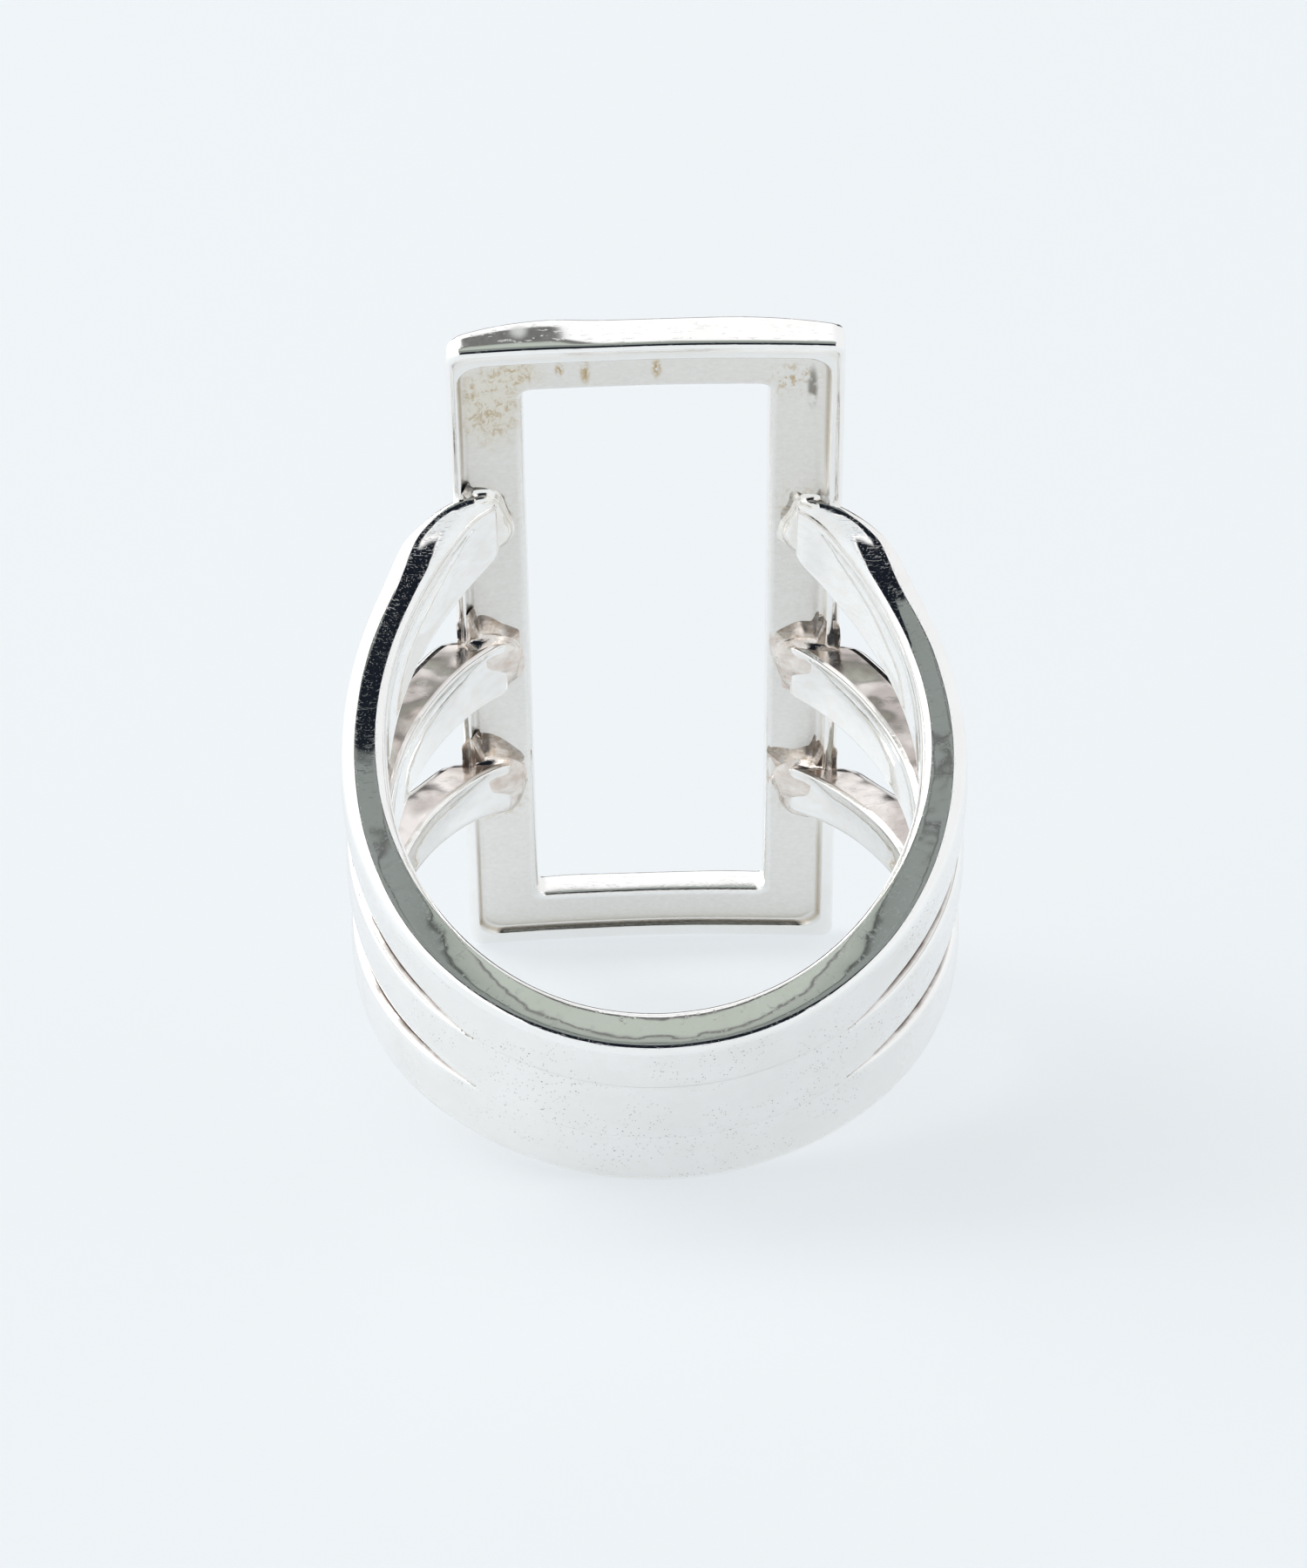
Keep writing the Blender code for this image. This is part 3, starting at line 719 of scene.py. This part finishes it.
def make_fillet(tag, side, name, mat, seed):
    """Solder drawn up round a bar's end: hugs the bar below and flares to a thin uneven
    skirt on the underside of the head."""
    lo, hi = (float(table(rows_, END_DEG)) for rows_ in EDGES[tag])
    yc, half = (lo + hi) / 2, (hi - lo) / 2
    rng = np.random.RandomState(seed)
    n = 96
    ang = np.linspace(0, 2 * math.pi, n, endpoint=False)
    ph = rng.rand(5) * 7
    z1 = HEAD_Z + 0.262
    reach = 1.25 if tag == "near" else 1.70
    ca, sa = np.cos(ang), np.sin(ang)
    p = 2.6
    rad = (np.abs(ca) ** p + np.abs(sa) ** p) ** (-1 / p)
    un = 0.10 * np.sin(3 * ang + ph[0]) + 0.07 * np.sin(5 * ang + ph[1]) + 0.04 * np.sin(9 * ang + ph[4])
    toward = smooth((-sa + 0.35) / 0.9)           # 1 on the near side of the joint
    inward = toward * smooth((0.80 - ca) / 0.6)   # and 0 over the lip of the head
    if tag == "near":
        neck = 0.012 - 0.30 * toward
        R = 0.17 + 0.07 * toward
        far_out = neck + R * 1.05 + 0.42 * inward + 0.12 + un * (0.4 + 0.3 * toward)
    else:
        neck = np.full(n, 0.012)
        R = 0.16 + 0.36 * toward
        far_out = R * 1.05 + (reach - 0.55) * inward + 0.12 + un * (0.4 + 0.6 * toward)
    rows, edge = [], []
    for q in np.concatenate([[-0.12], np.linspace(0, 0.72, 20), np.linspace(0.76, 1, 9)]):
        if q < 0:
            off, z = neck - 0.13, z1 - R - 0.12
        elif q <= 0.72:
            t = math.radians(86.0 * q / 0.72)
            off, z = neck + R * (1 - math.cos(t)), z1 - R + R * math.sin(t) - 0.012
        else:
            w = (q - 0.72) / 0.28
            off = neck + R * 0.93 + (far_out - neck - R * 0.93) * w
            z = np.full(n, z1 - 0.012 * (1 - w))
        zc = np.minimum(z, 7.30)
        xi = np.sqrt(R_IN ** 2 - zc ** 2)
        ro = R_FOOT + (0.0 if tag == "near" else 0.40)
        xo = np.sqrt(ro ** 2 - zc ** 2)
        cx, hx = (xi + xo) / 2, (xo - xi) / 2
        gx = np.minimum(off, 0.22 + 0.3 * np.maximum(off - 0.22, 0))
        x = cx + (hx + gx) * rad * ca
        y = (half + off) * rad * sa
        wide = 6.40 if tag == "near" else 6.28
        x = np.minimum(np.maximum(x, 4.02 + 0.05 * np.sin(2 * ang + ph[2])), wide)
        zz = z + low_fall(x) + 0.012 * np.sin(4 * ang + ph[3])
        lip = smooth((x - (HEAD_W - 0.62)) / 0.25)
        zz = np.minimum(zz, HEAD_Z + low_fall(x) + 0.262 - 0.262 * lip - 0.003)
        rows.append(np.stack([side * x, yc + y, zz], -1))
        edge.append(np.full(n, float(smooth((q - 0.84) / 0.16))))
    P = np.array(rows)
    P = P + (wob(P, 0.55, seed) * 0.035)[..., None] * np.array([1, 1, 0.3])
    P = skew(P)
    ob = grid_object(name, P, False, True, True, [mat], {"edge": np.array(edge)})
    return finish_mesh(ob)


bars_mat = bars_material("silver_bars_polished")
head_mat = head_material("silver_head_cast_and_polished")
near_mat = solder_material("silver_solder_cream", (0.965, 0.95, 0.915), (0.92, 0.885, 0.82), 0.055)
mid_mat = solder_material("silver_solder_rosy", (0.92, 0.87, 0.82), (0.70, 0.60, 0.53), 0.06)

made = []
head = make_head(head_mat)
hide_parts("head_frame")
made.append(head)
for k, tag in enumerate(EDGES):
    ob = make_bar(tag, "bar_" + tag, bars_mat)
    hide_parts("shank_bar_" + tag)
    made.append(ob)
    for side, lr in ((-1, "left"), (1, "right")):
        fi = make_fillet(tag, side, "joint_%s_%s" % (tag, lr), near_mat if tag == "near" else mid_mat,
                         40 + 7 * k + side)
        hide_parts("head_solder_%s_%s" % (tag, lr))
        made.append(fi)
for tag in SEAMS:
    ob = make_strip(tag, "palm_joint_" + tag, bars_mat)
    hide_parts("palm_solder_" + tag)
    made.append(ob)
for ob in made:
    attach(ob, "root")

# ------------------------------------------------------------------ floor
def floor_material():
    mat, nt, bsdf = new_mat("pale_studio_floor")
    v = mm_coords(nt)
    a = noise(nt, v, 0.02, 2, 0.5)
    col = mix_col(nt, a, (0.300, 0.310, 0.318), (0.306, 0.314, 0.320))
    nt.links.new(col, bsdf.inputs["Base Color"])
    # opal acrylic, lit softly from below
    bsdf.inputs["Emission Color"].default_value = (0.560, 0.588, 0.610, 1)
    bsdf.inputs["Emission Strength"].default_value = 1.0
    bsdf.inputs["Roughness"].default_value = 0.55
    bsdf.inputs["Specular IOR Level"].default_value = 0.35
    g = noise(nt, v, 3.5, 3, 0.6)
    nt.links.new(bump(nt, g, 0.015, 0.5), bsdf.inputs["Normal"])
    return mat


bpy.ops.mesh.primitive_grid_add(x_subdivisions=8, y_subdivisions=8, size=4.0, location=(0, 0, -0.00002))
floor = bpy.context.object
floor.name = "studio_floor"
floor.data.materials.append(floor_material())

# ------------------------------------------------------------------ light
wd = bpy.data.worlds.new("soft_studio")
scene.world = wd
wd.use_nodes = True
nt = wd.node_tree
bg = nt.nodes["Background"]
tc = nt.nodes.new("ShaderNodeTexCoord")
sep = nt.nodes.new("ShaderNodeSeparateXYZ")
nt.links.new(tc.outputs["Generated"], sep.inputs[0])
X, Y, Z = sep.outputs


def mrange(v, a, b, lo=0.0, hi=1.0):
    n = nt.nodes.new("ShaderNodeMapRange")
    n.interpolation_type = 'SMOOTHSTEP'
    n.inputs["From Min"].default_value = a
    n.inputs["From Max"].default_value = b
    n.inputs["To Min"].default_value = lo
    n.inputs["To Max"].default_value = hi
    nt.links.new(v, n.inputs["Value"])
    return n.outputs["Result"]


ab = math_n(nt, 'ABSOLUTE', X)
tilt = math_n(nt, 'ARCTAN2', math_n(nt, 'MULTIPLY', Y, -1.0), Z)   # 0 overhead, + to the front
over = math_n(nt, 'MULTIPLY', mrange(tilt, 0.020, 0.035), mrange(tilt, 1.00, 0.93))
over = math_n(nt, 'MULTIPLY', over, mrange(ab, 0.50, 0.45))
GREEN = (0.50, 0.55, 0.50)
ceil_col = ramp(nt, tilt, [(0.0, 0.06), (0.035, 0.11), (0.095, 0.16), (0.105, GREEN), (0.262, GREEN),
                           (0.270, 0.15), (0.282, 0.18), (0.292, (0.42, 0.46, 0.42)), (0.40, (0.34, 0.38, 0.35)),
                           (0.41, 0.05), (0.44, (0.24, 0.27, 0.26)), (0.56, (0.28, 0.31, 0.30)),
                           (0.58, 0.10), (0.60, (0.27, 0.30, 0.29)), (0.95, (0.24, 0.27, 0.26))])
rim_dark = math_n(nt, 'MULTIPLY', mrange(ab, 0.40, 0.42), mrange(ab, 0.50, 0.47))
ceil_col = mix_col(nt, rim_dark, ceil_col, (0.05, 0.055, 0.055))
front = math_n(nt, 'MULTIPLY', mrange(tilt, 0.84, 0.88), mrange(tilt, 1.56, 1.50))
front = math_n(nt, 'MULTIPLY', front, math_n(nt, 'MULTIPLY', mrange(X, -0.42, -0.37), mrange(X, 0.46, 0.42)))
# the wall on the left is lit harder than the one on the right
lr = mrange(X, -0.75, 0.75)
white = mix_col(nt, lr, (1.22, 1.235, 1.245), (0.90, 0.915, 0.935))
col = mix_col(nt, over, white, ceil_col)
col = mix_col(nt, front, col, (0.010, 0.013, 0.020))
back = math_n(nt, 'MULTIPLY', mrange(Z, 0.24, 0.28), mrange(Z, 0.66, 0.62))
back = math_n(nt, 'MULTIPLY', back, mrange(Y, 0.45, 0.50))
back = math_n(nt, 'MULTIPLY', back, mrange(ab, 0.62, 0.58))
col = mix_col(nt, back, col, (0.015, 0.015, 0.018))
nt.links.new(col, bg.inputs["Color"])
bg.inputs["Strength"].default_value = 1.0


def area(name, loc, target, size, power, colour=(1, 1, 1)):
    d = bpy.data.lights.new(name, 'AREA')
    d.shape = 'RECTANGLE'
    d.size, d.size_y = size
    d.energy = power
    d.color = colour
    ob = bpy.data.objects.new(name, d)
    scene.collection.objects.link(ob)
    ob.location = loc
    ob.rotation_mode = 'QUATERNION'
    ob.rotation_quaternion = (Vector(target) - Vector(loc)).to_track_quat('-Z', 'Y')
    return ob


area("soft_left", (-0.42, 0.10, 0.40), (0, 0, 0.012), (0.45, 0.35), 1.1)

# ------------------------------------------------------------------ camera
cd = bpy.data.cameras.new("camera")
cam = bpy.data.objects.new("camera", cd)
scene.collection.objects.link(cam)
scene.camera = cam
cd.sensor_width = 36.0
cd.lens = 208.37
cd.clip_start = 0.01
cd.clip_end = 20.0
right = Vector((0.9996, -0.0171, -0.0209)).normalized()
fwd = Vector((0.0092, 0.9437, -0.3307)).normalized()
up = right.cross(fwd).normalized()
right = fwd.cross(up).normalized()
m = Matrix((right, up, -fwd)).transposed().to_4x4()
m.translation = Vector((-0.002694, -0.282096, 0.109282))
cam.matrix_world = m
